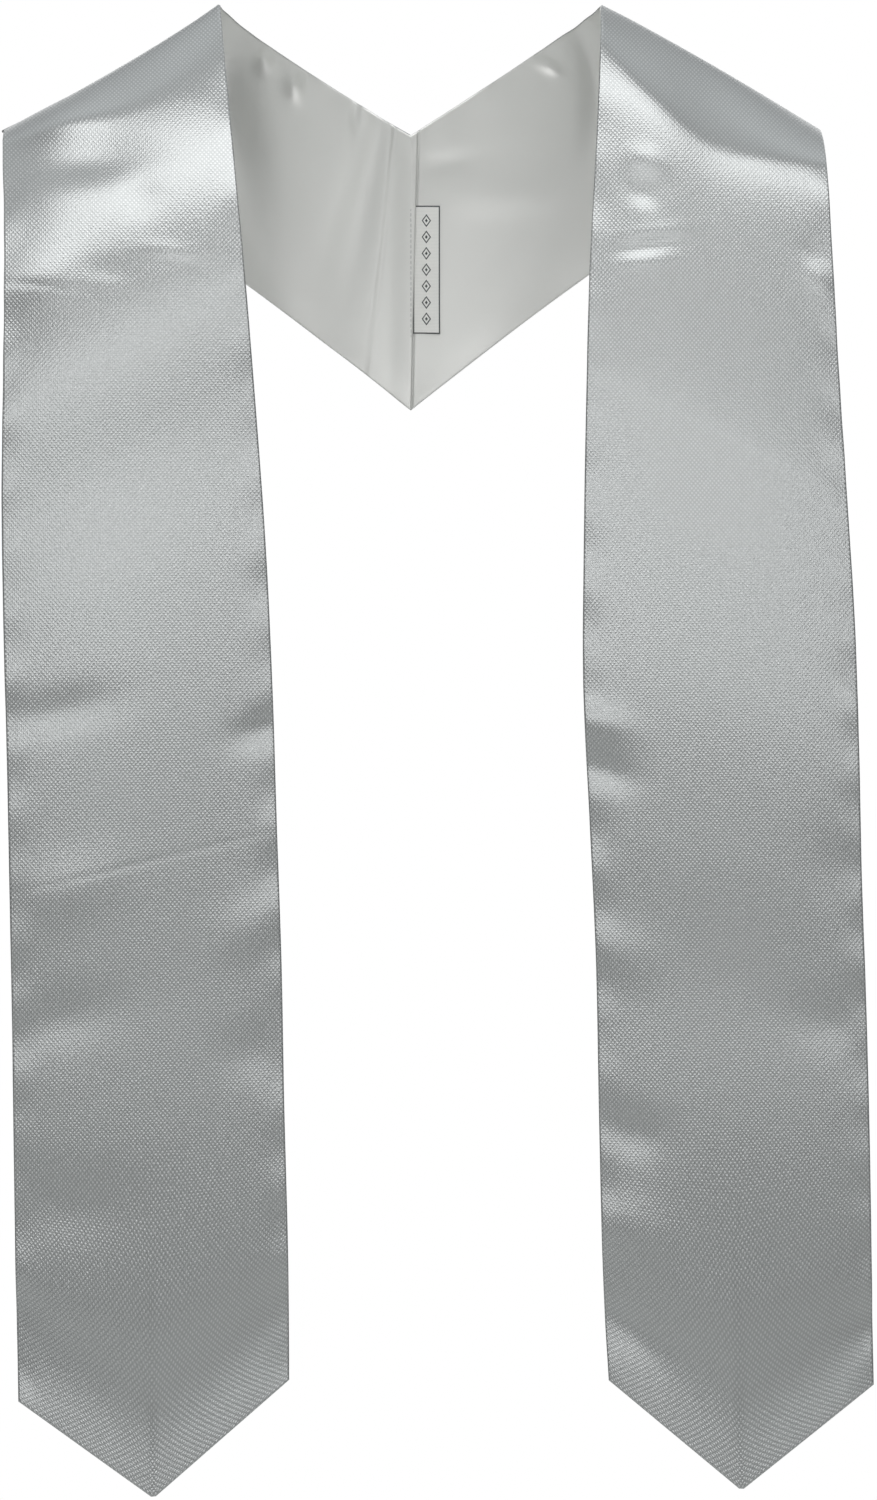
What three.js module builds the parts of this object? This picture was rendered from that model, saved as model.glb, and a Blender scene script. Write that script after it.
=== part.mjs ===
// Graduation stole of satin in the form that it hangs in when worn: two lined bands, joined by a mitred seam
// at the nape, that pass over the shoulders and hang down the chest to pointed hems.
// Millimetres, +Z up, the chest towards -Y. The origin lies midway between the middles of the shoulder folds.

import * as THREE from "three";

// Driving sizes
const NECK_WIDTH = 184.5; // between the inner ends of the two shoulder folds
const SHOULDER_SLOPE = 30; // degrees that each shoulder fold falls towards the arm
const BAND_WIDTH = 106; // each band at its shoulder fold
const HEM_WIDTH = 128; // each band low on the chest
const FRONT_HANG = 631; // from the middle of a shoulder fold down to the hem's corners
const POINT_DROP = 51; // from the hem's corners down to its point
const CHEST_DEPTH = 90; // how far the bands stand in front of the folds
const CHEST_DROP = 180; // how far below the fold a band reaches that depth
const NAPE_DROP = 58.5; // from the folds' inner ends down to the top of the seam
const NAPE_DEPTH = 58; // how far the top of the seam lies behind the folds
const SEAM_HEIGHT = 134.5; // the nape seam from top to bottom
const BACK_DEPTH = 80; // how far the bottom of the seam lies behind the folds
const BACK_CROWN = 3; // bulge across the band over the shoulder blade
const FRONT_CROWN = 3.5; // bulge across the band on the chest
const CLOTH = 1; // thickness of one ply, with its share of the interfacing
const PLY_GAP = 0.3; // between the face and its lining
const SEAM_GAP = 0.3; // between the left and right halves at the nape seam
const LINING_INSET = 1.2; // how far the lining stays back from the face's edge
const LABEL_WIDTH = 12.4;
const LABEL_HEIGHT = 62;
const LABEL_THICKNESS = 0.8;
const LABEL_GAP = 0.3; // between the label and the lining behind it
const LABEL_DROP = 34.5; // from the top of the seam down to the label
const LABEL_SETBACK = 1.4; // from the seam's middle to the label's caught edge

// Mesh density
const ACROSS_STEPS = 10;
const BACK_STEPS = 12;
const FRONT_STEPS = 42;
const FRONT_SPACING = 1.3; // power that sets the front's sections closer together near the fold
const LABEL_STEPS = { across: 3, down: 8 };
const PLACE_ROUNDS = 12; // corrections that find the label's place on the lining

const OUTER_BOW = 1.2; // exponent that bows the back's lower edge on its way from the fold to the seam
const HEM_STARTS = 0.8; // share of the hang where the sections begin to follow the hem's point
const CROWN_FULL = 0.5; // share of the hang where the front's crown reaches its full height
const FOLD_REACH = 0.12; // share of a band's way over which the fold's own bow fades out
const FACET_FLAT = 0.6; // how flat the facet over the shoulder is: 0 is a quarter of an ellipse, 1 is a plane
const SHELF_FADE = 0.09; // share of the chest's drop over which the shelf below the bend fades out

const NECK_HALF = NECK_WIDTH / 2;
const FOLD_DROP = BAND_WIDTH * Math.tan(THREE.MathUtils.degToRad(SHOULDER_SLOPE));
const FOLD_TOP = FOLD_DROP / 2;
const SHOULDER_HALF = NECK_HALF + BAND_WIDTH;

// Sections of the hanging bands. down: share of the way from the fold to the hem. flare: share of the way from
// BAND_WIDTH to HEM_WIDTH. lean: sideways shift of the band's middle, and sway: shift towards the back, both as
// shares of HEM_WIDTH.
const FRONT_SECTIONS = [
  { down: 0.0, flareLeft: -0.05, flareRight: 0.0, leanLeft: 0.005, leanRight: 0.0, swayLeft: 0.0, swayRight: 0.0 },
  { down: 0.1, flareLeft: 0.11, flareRight: 0.27, leanLeft: 0.047, leanRight: -0.002, swayLeft: 0.0, swayRight: 0.0 },
  { down: 0.2, flareLeft: 0.39, flareRight: 0.56, leanLeft: 0.074, leanRight: -0.006, swayLeft: 0.004, swayRight: -0.02 },
  { down: 0.3, flareLeft: 0.66, flareRight: 0.8, leanLeft: 0.093, leanRight: 0.0, swayLeft: 0.01, swayRight: -0.045 },
  { down: 0.4, flareLeft: 0.83, flareRight: 1.01, leanLeft: 0.116, leanRight: 0.009, swayLeft: -0.014, swayRight: -0.078 },
  { down: 0.5, flareLeft: 0.9, flareRight: 1.11, leanLeft: 0.135, leanRight: 0.015, swayLeft: -0.025, swayRight: -0.1 },
  { down: 0.6, flareLeft: 0.94, flareRight: 1.03, leanLeft: 0.148, leanRight: 0.032, swayLeft: -0.024, swayRight: -0.1 },
  { down: 0.7, flareLeft: 0.99, flareRight: 0.99, leanLeft: 0.161, leanRight: 0.052, swayLeft: -0.016, swayRight: -0.09 },
  { down: 0.8, flareLeft: 1.01, flareRight: 1.0, leanLeft: 0.169, leanRight: 0.063, swayLeft: -0.013, swayRight: -0.094 },
  { down: 0.9, flareLeft: 1.05, flareRight: 0.98, leanLeft: 0.179, leanRight: 0.073, swayLeft: -0.002, swayRight: -0.086 },
  { down: 0.95, flareLeft: 1.04, flareRight: 0.94, leanLeft: 0.183, leanRight: 0.08, swayLeft: 0.022, swayRight: -0.066 },
  { down: 1.0, flareLeft: 1.02, flareRight: 0.88, leanLeft: 0.186, leanRight: 0.09, swayLeft: 0.014, swayRight: -0.072 },
];

// How the cloth comes forward off the shoulder: a facet over the shoulder, then a bend, then the chest. bend: drop of
// the bend below the fold, as a share of CHEST_DROP. reach: how far forward the bend is, as a share of CHEST_DEPTH.
const ROLL_SECTIONS = [
  { across: 0.0, bendLeft: 0.185, bendRight: 0.085, reachLeft: 0.47, reachRight: 0.48 },
  { across: 0.25, bendLeft: 0.155, bendRight: 0.165, reachLeft: 0.5, reachRight: 0.64 },
  { across: 0.5, bendLeft: 0.135, bendRight: 0.2, reachLeft: 0.5, reachRight: 0.68 },
  { across: 0.75, bendLeft: 0.08, bendRight: 0.16, reachLeft: 0.43, reachRight: 0.67 },
  { across: 1.0, bendLeft: 0.035, bendRight: 0.1, reachLeft: 0.28, reachRight: 0.64 },
];

// Dents and puckers of the hanging bands. across: share of the band's width from its inner edge. down: as above.
// wide and tall: half sizes, and deep: depth, negative where the cloth sinks in, all as shares of HEM_WIDTH.
const FRONT_DENTS = [
  { band: "left", across: 0.68, down: 0.02, wide: 0.2, tall: 0.07, deep: 0.013 },
  { band: "left", across: 0.62, down: 0.062, wide: 0.3, tall: 0.09, deep: -0.021 },
  { band: "left", across: 0.86, down: 0.137, wide: 0.2, tall: 0.1, deep: 0.011 },
  { band: "left", across: 0.32, down: 0.165, wide: 0.14, tall: 0.07, deep: -0.006 },
  { band: "left", across: 0.8, down: 0.455, wide: 0.2, tall: 0.08, deep: -0.009 },
  { band: "left", across: 0.05, down: 0.53, wide: 0.12, tall: 0.08, deep: -0.01 },
  { band: "left", across: 0.8, down: 0.61, wide: 0.2, tall: 0.12, deep: 0.006 },
  { band: "left", across: 0.08, down: 0.67, wide: 0.14, tall: 0.1, deep: 0.008 },
  { band: "left", across: 0.82, down: 0.71, wide: 0.2, tall: 0.1, deep: -0.007 },
  { band: "left", across: 0.08, down: 0.76, wide: 0.14, tall: 0.1, deep: -0.007 },
  { band: "left", across: 0.82, down: 0.85, wide: 0.26, tall: 0.12, deep: -0.008 },
  { band: "right", across: 0.21, down: 0.112, wide: 0.1, tall: 0.08, deep: -0.01 },
  { band: "right", across: 0.24, down: 0.167, wide: 0.14, tall: 0.08, deep: -0.006 },
  { band: "right", across: 0.93, down: 0.138, wide: 0.1, tall: 0.08, deep: 0.01 },
  { band: "right", across: 0.06, down: 0.525, wide: 0.12, tall: 0.07, deep: 0.009 },
  { band: "right", across: 0.06, down: 0.56, wide: 0.12, tall: 0.07, deep: -0.009 },
  { band: "right", across: 0.95, down: 0.6, wide: 0.14, tall: 0.16, deep: -0.007 },
  { band: "right", across: 0.07, down: 0.69, wide: 0.14, tall: 0.1, deep: 0.007 },
  { band: "right", across: 0.9, down: 0.72, wide: 0.18, tall: 0.1, deep: -0.006 },
  { band: "right", across: 0.12, down: 0.82, wide: 0.11, tall: 0.08, deep: -0.009 },
  { band: "right", across: 0.1, down: 0.88, wide: 0.14, tall: 0.1, deep: 0.008 },
  { band: "right", across: 0.08, down: 0.95, wide: 0.13, tall: 0.08, deep: -0.009 },
];

// Soft folds of the back. turn: share of the way from the shoulder fold to the seam. Here wide runs along the band,
// and tall runs across it, as a share of the band's width.
const BACK_DENTS = [
  { band: "left", across: 0.25, turn: 0.41, wide: 0.13, tall: 0.15, deep: -0.07 },
  { band: "left", across: 0.42, turn: 0.52, wide: 0.13, tall: 0.15, deep: -0.08 },
  { band: "left", across: 0.58, turn: 0.6, wide: 0.13, tall: 0.15, deep: -0.06 },
  { band: "left", across: 0.45, turn: 0.88, wide: 0.06, tall: 0.6, deep: -0.023 },
  { band: "left", across: 0.8, turn: 0.7, wide: 0.08, tall: 0.22, deep: -0.016 },
  { band: "right", across: 0.17, turn: 0.37, wide: 0.08, tall: 0.14, deep: -0.035 },
  { band: "right", across: 0.3, turn: 0.46, wide: 0.08, tall: 0.14, deep: -0.04 },
  { band: "right", across: 0.45, turn: 0.55, wide: 0.08, tall: 0.14, deep: -0.035 },
  { band: "right", across: 0.85, turn: 0.42, wide: 0.11, tall: 0.22, deep: -0.019 },
];

// How the two bands differ. side: the sign of x. hemTilt: how far the hem's inner corner is above its middle, and
// hemLift: how far the whole hem is above FRONT_HANG, as shares of HEM_WIDTH. foldBow: how far the middle of the
// shoulder fold stands above a straight line, as a share of BAND_WIDTH. innerBow: the exponent that bows the back's
// upper edge on its way from the fold to the seam. chestEase: the exponent that flattens the chest below the bend.
// bendSoft: how much the bend is rounded, as a share of CHEST_DEPTH. shelf: share of the chest's depth that the cloth
// gains at once below the bend, before it hangs steeply.
const BANDS = {
  left: {
    side: -1,
    flare: "flareLeft",
    lean: "leanLeft",
    sway: "swayLeft",
    hemTilt: 0.04,
    hemLift: -0.025,
    foldBow: -0.024,
    innerBow: 0.92,
    bend: "bendLeft",
    reach: "reachLeft",
    chestEase: 2.6,
    bendSoft: 0.02,
    shelf: 0,
  },
  right: {
    side: 1,
    flare: "flareRight",
    lean: "leanRight",
    sway: "swayRight",
    hemTilt: 0.008,
    hemLift: 0.012,
    foldBow: 0.014,
    innerBow: 1.0,
    bend: "bendRight",
    reach: "reachRight",
    chestEase: 1.3,
    bendSoft: 0.05,
    shelf: 0.3,
  },
};

const { lerp, smoothstep } = THREE.MathUtils;

// A column of a table at any value of its key, on a smooth curve through the rows.
function column(table, key, name, at) {
  const last = table.length - 1;
  const found = table.findIndex((row) => row[key] > at);
  const i = found < 1 ? (found === 0 ? 0 : last - 1) : found - 1;
  const slope = (k) => {
    const a = table[Math.max(k - 1, 0)];
    const b = table[Math.min(k + 1, last)];
    return (b[name] - a[name]) / (b[key] - a[key]);
  };
  const span = table[i + 1][key] - table[i][key];
  const t = (at - table[i][key]) / span;
  const rise = table[i + 1][name] - table[i][name];
  return (
    table[i][name] +
    rise * t * t * (3 - 2 * t) +
    span * slope(i) * t * (1 - t) ** 2 -
    span * slope(i + 1) * t * t * (1 - t)
  );
}

// Depth in front of the fold, as a share of CHEST_DEPTH, at a drop below the fold: the lesser of the shoulder's facet
// and the chest, with the bend between them rounded.
function rollForward(band, across, dropBelow) {
  const { chestEase, bendSoft, shelf } = BANDS[band];
  const drop = THREE.MathUtils.clamp(dropBelow / CHEST_DROP, 0, 1);
  const bend = column(ROLL_SECTIONS, "across", BANDS[band].bend, across);
  const reach = column(ROLL_SECTIONS, "across", BANDS[band].reach, across);
  const onFacet = drop / bend;
  const facet = reach * lerp(Math.sqrt(1 - (1 - Math.min(onFacet, 1)) ** 2), onFacet, FACET_FLAT);
  const onChest = (drop - bend) / (1 - bend);
  const below = Math.max(onChest, 0);
  const chestShare =
    onChest < 0
      ? lerp(chestEase, 1 / SHELF_FADE, shelf) * onChest
      : lerp(1 - (1 - below) ** chestEase, 1 - Math.exp(-below / SHELF_FADE), shelf);
  const chest = reach + (1 - reach) * chestShare;
  const choice = THREE.MathUtils.clamp(0.5 + (chest - facet) / (2 * bendSoft), 0, 1);
  return lerp(chest, facet, choice) - bendSoft * choice * (1 - choice);
}

// Height of the shoulder fold's bow, which fades out on both sides of the fold.
function foldBowAt(band, across, way) {
  const arch = 1 - (2 * across - 1) ** 2;
  return BANDS[band].foldBow * BAND_WIDTH * arch * (1 - smoothstep(Math.abs(way), 0, FOLD_REACH));
}

// Middle surface of the hanging part of a band, before its dents.
function frontPoint(band, across, down) {
  const { side, flare, lean, sway, hemTilt, hemLift } = BANDS[band];
  const at = (name) => column(FRONT_SECTIONS, "down", name, down);
  const width = lerp(BAND_WIDTH, HEM_WIDTH, at(flare));
  const middle = side * (NECK_HALF + BAND_WIDTH / 2) + at(lean) * HEM_WIDTH;
  const foldZ = lerp(FOLD_TOP, -FOLD_TOP, across);
  const hemZ = -FRONT_HANG + (hemLift + lerp(hemTilt, -hemTilt, across)) * HEM_WIDTH;
  const edgeZ = lerp(foldZ, hemZ, down);
  const point = smoothstep(down, HEM_STARTS, 1) * POINT_DROP * (1 - Math.abs(2 * across - 1));
  return new THREE.Vector3(
    middle + side * width * (across - 0.5),
    at(sway) * HEM_WIDTH - CHEST_DEPTH * rollForward(band, across, foldZ - edgeZ),
    edgeZ - point + foldBowAt(band, across, down),
  );
}

// Middle surface from the shoulder fold (turn 0) to the nape seam (turn 1): its edges are quarter ellipses in plan.
function backPoint(band, across, turn) {
  const { side, innerBow } = BANDS[band];
  const angle = (turn * Math.PI) / 2;
  const fall = 1 - Math.cos(angle);
  const half = lerp(NECK_HALF, SHOULDER_HALF, across);
  const innerZ = FOLD_TOP - NAPE_DROP * fall ** innerBow;
  const outerFall = NAPE_DROP + SEAM_HEIGHT - FOLD_DROP;
  const outerZ = -FOLD_TOP - outerFall * fall ** OUTER_BOW;
  return new THREE.Vector3(
    side * (SEAM_GAP / 2 + (half - SEAM_GAP / 2) * Math.cos(angle)),
    lerp(NAPE_DEPTH, BACK_DEPTH, across) * Math.sin(angle),
    lerp(innerZ, outerZ, across) + foldBowAt(band, across, turn),
  );
}

// A band runs from the nape seam (way -1) over the shoulder fold (way 0) to the hem (way 1).
function bandPoint(band, across, way) {
  return way < 0 ? backPoint(band, across, -way) : frontPoint(band, across, way);
}

const bell = (x, y) => Math.exp(-(x * x + y * y));

// How far the cloth stands out from the middle surface: the crown across the band, and the dents on it.
function relief(band, across, way) {
  const arch = 1 - (2 * across - 1) ** 2;
  if (way < 0) {
    const lengthShare = SHOULDER_HALF / HEM_WIDTH;
    return BACK_DENTS.filter((dent) => dent.band === band).reduce(
      (sum, dent) =>
        sum +
        dent.deep *
          HEM_WIDTH *
          bell((across - dent.across) / dent.tall, ((-way - dent.turn) * lengthShare) / dent.wide),
      BACK_CROWN * arch * smoothstep(-way, 0, 1),
    );
  }
  const lengthShare = FRONT_HANG / HEM_WIDTH;
  return FRONT_DENTS.filter((dent) => dent.band === band).reduce(
    (sum, dent) =>
      sum +
      dent.deep *
        HEM_WIDTH *
        bell((across - dent.across) / dent.wide, ((way - dent.down) * lengthShare) / dent.tall),
    FRONT_CROWN * arch * smoothstep(way, 0, CROWN_FULL),
  );
}

// The outward side is the satin face's: to the front on the chest and to the back behind the neck.
function outwardNormal(band, across, way) {
  const step = 0.004;
  const wayLow = Math.max(way - step, -1);
  const wayHigh = Math.min(way + step, 1);
  const along = bandPoint(band, across, wayHigh).sub(bandPoint(band, across, wayLow));
  const sideways = bandPoint(band, across + step, way).sub(bandPoint(band, across - step, way));
  const normal = along.cross(sideways).multiplyScalar(BANDS[band].side);
  if (way === -1) normal.x = 0; // both halves end flat against the seam
  return normal.normalize();
}

function clothPoint(band, across, way, offset) {
  const normal = outwardNormal(band, across, way);
  return bandPoint(band, across, way).addScaledVector(normal, offset + relief(band, across, way));
}

// The sections along a band, as ways from the nape seam to the hem.
function bandWays(hemInset) {
  const back = Array.from({ length: BACK_STEPS }, (_, i) => i / BACK_STEPS - 1);
  const reach = 1 - hemInset / FRONT_HANG;
  const front = Array.from(
    { length: FRONT_STEPS + 1 },
    (_, i) => reach * (i / FRONT_STEPS) ** FRONT_SPACING,
  );
  return [...back, ...front];
}

// A closed sheet between two grids of points, rows by columns, the first one on the outward side.
function sheetSolid(outer, inner, mirrored) {
  const rows = outer.length;
  const cols = outer[0].length;
  const positions = [...outer.flat(), ...inner.flat()].flatMap((p) => [p.x, p.y, p.z]);
  const top = (i, j) => i * cols + j;
  const under = (i, j) => rows * cols + i * cols + j;
  const faces = [];
  const quad = (a, b, c, d) => faces.push(a, b, c, a, c, d);
  for (let i = 0; i < rows - 1; i++) {
    for (let j = 0; j < cols - 1; j++) {
      quad(top(i, j), top(i + 1, j), top(i + 1, j + 1), top(i, j + 1));
      quad(under(i, j), under(i, j + 1), under(i + 1, j + 1), under(i + 1, j));
    }
    quad(top(i, 0), under(i, 0), under(i + 1, 0), top(i + 1, 0));
    quad(top(i, cols - 1), top(i + 1, cols - 1), under(i + 1, cols - 1), under(i, cols - 1));
  }
  for (let j = 0; j < cols - 1; j++) {
    quad(top(0, j), top(0, j + 1), under(0, j + 1), under(0, j));
    quad(top(rows - 1, j), under(rows - 1, j), under(rows - 1, j + 1), top(rows - 1, j + 1));
  }
  if (mirrored) faces.reverse();
  return new THREE.BufferGeometry()
    .setAttribute("position", new THREE.Float32BufferAttribute(positions, 3))
    .setIndex(faces);
}

// One ply of a band between two offsets from its middle surface, held back from the band's edges by inset.
function plyGeometry(band, outerOffset, innerOffset, inset) {
  const margin = inset / HEM_WIDTH;
  const columns = Array.from({ length: ACROSS_STEPS + 1 }, (_, j) =>
    lerp(margin, 1 - margin, j / ACROSS_STEPS),
  );
  const grid = (offset) =>
    bandWays(inset).map((way) => columns.map((across) => clothPoint(band, across, way, offset)));
  return sheetSolid(grid(outerOffset), grid(innerOffset), BANDS[band].side < 0);
}

// Where the right half's lining lies at a given distance from the seam and height, found by correcting a guess.
function liningPlace(x, z) {
  let across = 0.5;
  let way = -1;
  for (let i = 0; i < PLACE_ROUNDS; i++) {
    const half = lerp(NECK_HALF, SHOULDER_HALF, across);
    way = -Math.acos(Math.min((x - SEAM_GAP / 2) / (half - SEAM_GAP / 2), 1)) / (Math.PI / 2);
    across += (bandPoint("right", across, way).z - z) / SEAM_HEIGHT;
  }
  return { across, way };
}

// The label lies on the right half's lining, its long edge caught in the seam.
function labelGeometry() {
  const top = FOLD_TOP - NAPE_DROP - LABEL_DROP;
  const liningFront = -(PLY_GAP / 2 + CLOTH + LABEL_GAP);
  const grid = (offset) =>
    Array.from({ length: LABEL_STEPS.down + 1 }, (_, i) =>
      Array.from({ length: LABEL_STEPS.across + 1 }, (_, j) => {
        const x = LABEL_SETBACK + (LABEL_WIDTH * j) / LABEL_STEPS.across;
        const z = top - (LABEL_HEIGHT * i) / LABEL_STEPS.down;
        const { across, way } = liningPlace(x, z);
        return clothPoint("right", across, way, offset);
      }),
    );
  return sheetSolid(grid(liningFront), grid(liningFront - LABEL_THICKNESS), true);
}

const satin = new THREE.MeshStandardMaterial({ color: "#b4b9ba", roughness: 0.34, metalness: 0 });
const lining = new THREE.MeshStandardMaterial({ color: "#b3b4ad", roughness: 0.5, metalness: 0 });
const woven = new THREE.MeshStandardMaterial({ color: "#e4e5e2", roughness: 0.7, metalness: 0 });

function named(name, geometry, material) {
  geometry.computeVertexNormals();
  const mesh = new THREE.Mesh(geometry, material);
  mesh.name = name;
  return mesh;
}

const stole = new THREE.Group();
for (const band of Object.keys(BANDS)) {
  const half = new THREE.Group();
  const near = PLY_GAP / 2;
  const far = near + CLOTH;
  half.add(named(`${band}_face`, plyGeometry(band, far, near, 0), satin));
  half.add(named(`${band}_lining`, plyGeometry(band, -near, -far, LINING_INSET), lining));
  stole.add(half);
}
stole.add(named("neck_label", labelGeometry(), woven));

export default stole;
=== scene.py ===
import math

import bpy
import numpy as np
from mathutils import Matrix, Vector


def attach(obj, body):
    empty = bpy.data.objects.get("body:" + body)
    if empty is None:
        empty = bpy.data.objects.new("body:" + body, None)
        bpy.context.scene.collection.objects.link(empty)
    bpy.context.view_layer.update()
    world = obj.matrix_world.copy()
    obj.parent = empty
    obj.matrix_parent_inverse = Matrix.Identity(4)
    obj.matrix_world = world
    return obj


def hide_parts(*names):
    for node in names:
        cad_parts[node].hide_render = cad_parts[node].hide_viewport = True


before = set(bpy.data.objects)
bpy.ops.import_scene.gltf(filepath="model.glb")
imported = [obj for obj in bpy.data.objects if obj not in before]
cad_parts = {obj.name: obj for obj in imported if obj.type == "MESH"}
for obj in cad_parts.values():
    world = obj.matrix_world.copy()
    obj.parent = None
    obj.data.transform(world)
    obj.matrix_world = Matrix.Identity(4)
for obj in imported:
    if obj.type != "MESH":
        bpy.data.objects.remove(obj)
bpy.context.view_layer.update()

# The two bands of the stole.
# Each half is one strip of polyester satin, cut straight, mitred at the nape and pointed at the hem. Worn, it
# climbs from the nape seam over the shoulder, rolls forward over the fold and hangs down the chest.
MM = 0.001
NECK_HALF = 92.25 * MM
BAND_WIDTH = 106 * MM
HEM_WIDTH = 128 * MM
SHOULDER_HALF = NECK_HALF + BAND_WIDTH
FOLD_TOP = BAND_WIDTH * math.tan(math.radians(30)) / 2
FRONT_HANG = 631 * MM
POINT_DROP = 51 * MM
HEM_STARTS = 0.8
CHEST_DEPTH, CHEST_DROP = 90 * MM, 180 * MM
NAPE_DROP, NAPE_DEPTH = 58.5 * MM, 58 * MM
SEAM_HEIGHT, BACK_DEPTH = 134.5 * MM, 80 * MM
OUTER_BOW = 1.2
FOLD_REACH = 0.12
SEAM_HALF_GAP = 0.02 * MM

# How the bands hang. flare: share of the way from BAND_WIDTH to HEM_WIDTH; lean: sideways shift of the
# middle, and sway: shift to the back, both as shares of HEM_WIDTH.
SECTION_COLUMNS = "down flare_left flare_right lean_left lean_right sway_left sway_right"
SECTIONS = [
    (0.0, -0.05, 0.0, 0.005, 0.0, 0.0, 0.0),
    (0.1, 0.11, 0.27, 0.047, -0.002, 0.0, 0.0),
    (0.2, 0.39, 0.56, 0.074, -0.006, 0.004, -0.02),
    (0.3, 0.66, 0.8, 0.093, 0.0, 0.01, -0.045),
    (0.4, 0.83, 1.01, 0.116, 0.009, -0.014, -0.078),
    (0.5, 0.9, 1.11, 0.135, 0.015, -0.025, -0.1),
    (0.6, 0.94, 1.03, 0.148, 0.032, -0.024, -0.1),
    (0.7, 0.99, 0.99, 0.161, 0.052, -0.016, -0.09),
    (0.8, 1.01, 1.0, 0.169, 0.063, -0.013, -0.094),
    (0.9, 1.05, 0.98, 0.179, 0.073, -0.002, -0.086),
    (0.95, 1.04, 0.94, 0.183, 0.08, 0.022, -0.066),
    (1.0, 1.02, 0.88, 0.186, 0.09, 0.014, -0.072),
]
# How the cloth comes forward off the shoulder: a facet over the shoulder down to a bend, and the chest below
# it. bend: drop of the bend as a share of CHEST_DROP, and reach: how far forward the bend is, as a share of
# CHEST_DEPTH.
ROLL_COLUMNS = "across bend_left bend_right reach_left reach_right"
ROLLS = [
    (0.0, 0.185, 0.085, 0.47, 0.48),
    (0.25, 0.155, 0.165, 0.5, 0.64),
    (0.5, 0.135, 0.2, 0.5, 0.68),
    (0.75, 0.08, 0.16, 0.43, 0.67),
    (1.0, 0.035, 0.1, 0.28, 0.64),
]
FACET_FLAT = 0.6
SHELF_FADE = 0.09
# hem_tilt and hem_lift set the hem, as shares of HEM_WIDTH, and fold_bow the bow of the shoulder fold, as a
# share of BAND_WIDTH. inner_bow: how the neck edge falls to the nape. chest_ease, soft and shelf: how the cloth
# eases from the bend into the chest.
BANDS = {
    "left": dict(
        side=-1,
        hem_tilt=0.04,
        hem_lift=-0.025,
        fold_bow=-0.024,
        inner_bow=0.92,
        chest_ease=2.6,
        soft=0.02,
        shelf=0,
    ),
    "right": dict(
        side=1,
        hem_tilt=0.008,
        hem_lift=0.012,
        fold_bow=0.014,
        inner_bow=1.0,
        chest_ease=1.3,
        soft=0.05,
        shelf=0.3,
    ),
}


def as_columns(names, rows):
    return dict(zip(names.split(), np.array(rows, float).T))


def lerp(a, b, t):
    return a + (b - a) * t


def smooth(t):
    t = np.clip(t, 0, 1)
    return t * t * (3 - 2 * t)


def arch(across):
    return 1 - (2 * across - 1) ** 2


HANG = as_columns(SECTION_COLUMNS, SECTIONS)
ROLL = as_columns(ROLL_COLUMNS, ROLLS)


def column(table, key, name, at):
    """A column of a table on a smooth curve through its rows."""
    key, value = table[key], table[name]
    i = np.clip(np.searchsorted(key, at, side="right") - 1, 0, len(key) - 2)
    row = np.arange(len(key))
    before, after = np.maximum(row - 1, 0), np.minimum(row + 1, len(key) - 1)
    slope = (value[after] - value[before]) / (key[after] - key[before])
    span = key[i + 1] - key[i]
    t = (at - key[i]) / span
    rise = value[i + 1] - value[i]
    bend = span * slope[i] * t * (1 - t) ** 2 - span * slope[i + 1] * t * t * (1 - t)
    return value[i] + rise * t * t * (3 - 2 * t) + bend


def fold_bow(band, across, way):
    return BANDS[band]["fold_bow"] * BAND_WIDTH * arch(across) * (1 - smooth(np.abs(way) / FOLD_REACH))


def band_width(band, down):
    return lerp(BAND_WIDTH, HEM_WIDTH, column(HANG, "down", "flare_" + band, down))


def roll(band, across, drop):
    """How far forward the cloth is at a drop below the fold, both as shares."""
    bend = column(ROLL, "across", "bend_" + band, across)
    reach = column(ROLL, "across", "reach_" + band, across)
    t = np.clip(drop, 0, 1) / bend
    facet = reach * lerp(np.sqrt(1 - (1 - np.minimum(t, 1)) ** 2), t, FACET_FLAT)
    u = (np.clip(drop, 0, 1) - bend) / (1 - bend)
    ease = BANDS[band]["chest_ease"]
    shelf = BANDS[band]["shelf"]
    steep = lerp(ease, 1 / SHELF_FADE, shelf)
    below = np.maximum(u, 0)
    fall = lerp(1 - (1 - below) ** ease, 1 - np.exp(-below / SHELF_FADE), shelf)
    chest = reach + (1 - reach) * np.where(u < 0, steep * u, fall)
    soft = BANDS[band]["soft"]
    h = np.clip(0.5 + (chest - facet) / (2 * soft), 0, 1)
    return lerp(chest, facet, h) - soft * h * (1 - h)


def front_points(band, across, down):
    b = BANDS[band]
    middle = b["side"] * (NECK_HALF + BAND_WIDTH / 2) + column(HANG, "down", "lean_" + band, down) * HEM_WIDTH
    fold_z = lerp(FOLD_TOP, -FOLD_TOP, across)
    hem_z = -FRONT_HANG + (b["hem_lift"] + lerp(b["hem_tilt"], -b["hem_tilt"], across)) * HEM_WIDTH
    edge_z = lerp(fold_z, hem_z, down)
    forward = roll(band, across, (fold_z - edge_z) / CHEST_DROP)
    point = smooth((down - HEM_STARTS) / (1 - HEM_STARTS)) * POINT_DROP * (1 - np.abs(2 * across - 1))
    x = middle + b["side"] * band_width(band, down) * (across - 0.5)
    y = column(HANG, "down", "sway_" + band, down) * HEM_WIDTH - CHEST_DEPTH * forward
    return np.stack([x, y, edge_z - point + fold_bow(band, across, down)], -1)


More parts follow.
